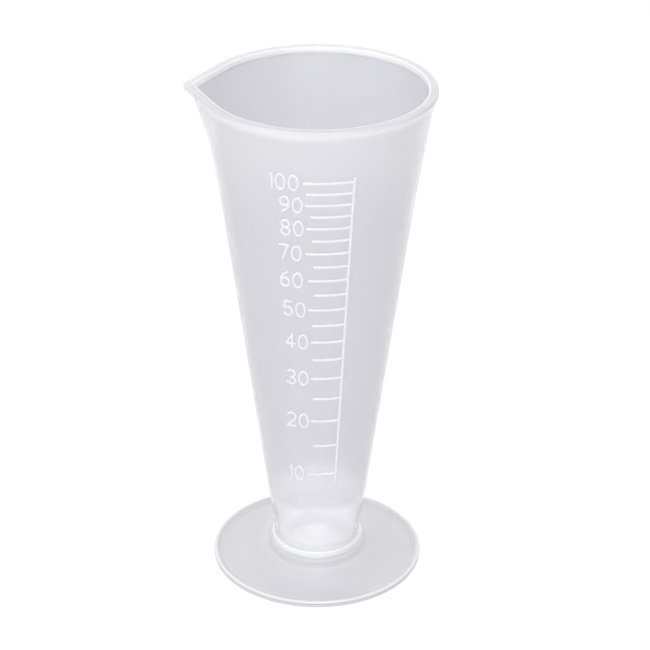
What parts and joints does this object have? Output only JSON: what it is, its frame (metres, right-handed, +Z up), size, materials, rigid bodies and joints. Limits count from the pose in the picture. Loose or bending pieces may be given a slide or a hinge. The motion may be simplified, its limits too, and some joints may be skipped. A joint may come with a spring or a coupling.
{
  "type": "liquid measure",
  "caption": "Conical plastic measure for liquids: a tapered cup with a flanged rim, a pouring spout and a raised millilitre scale, standing in the socket of a wide hollow foot.",
  "frame": {"origin": "on the cup's axis, on the surface that the foot stands on", "axes": "+Z up along the cup's axis, the spout points along -X and the scale faces -Y"},
  "size_m": [0.059, 0.0556, 0.127],
  "materials": {
    "cup": "moulded natural polypropylene, frosted and see-through",
    "foot": "moulded natural polypropylene, frosted and see-through",
    "graduation_lines": "raised lines of the same polypropylene, whiter where they stand out"
  },
  "bodies": {
    "root": {"cup": "cup", "foot": "foot", "graduation_lines": "graduation_lines"}
  },
  "joints": []
}
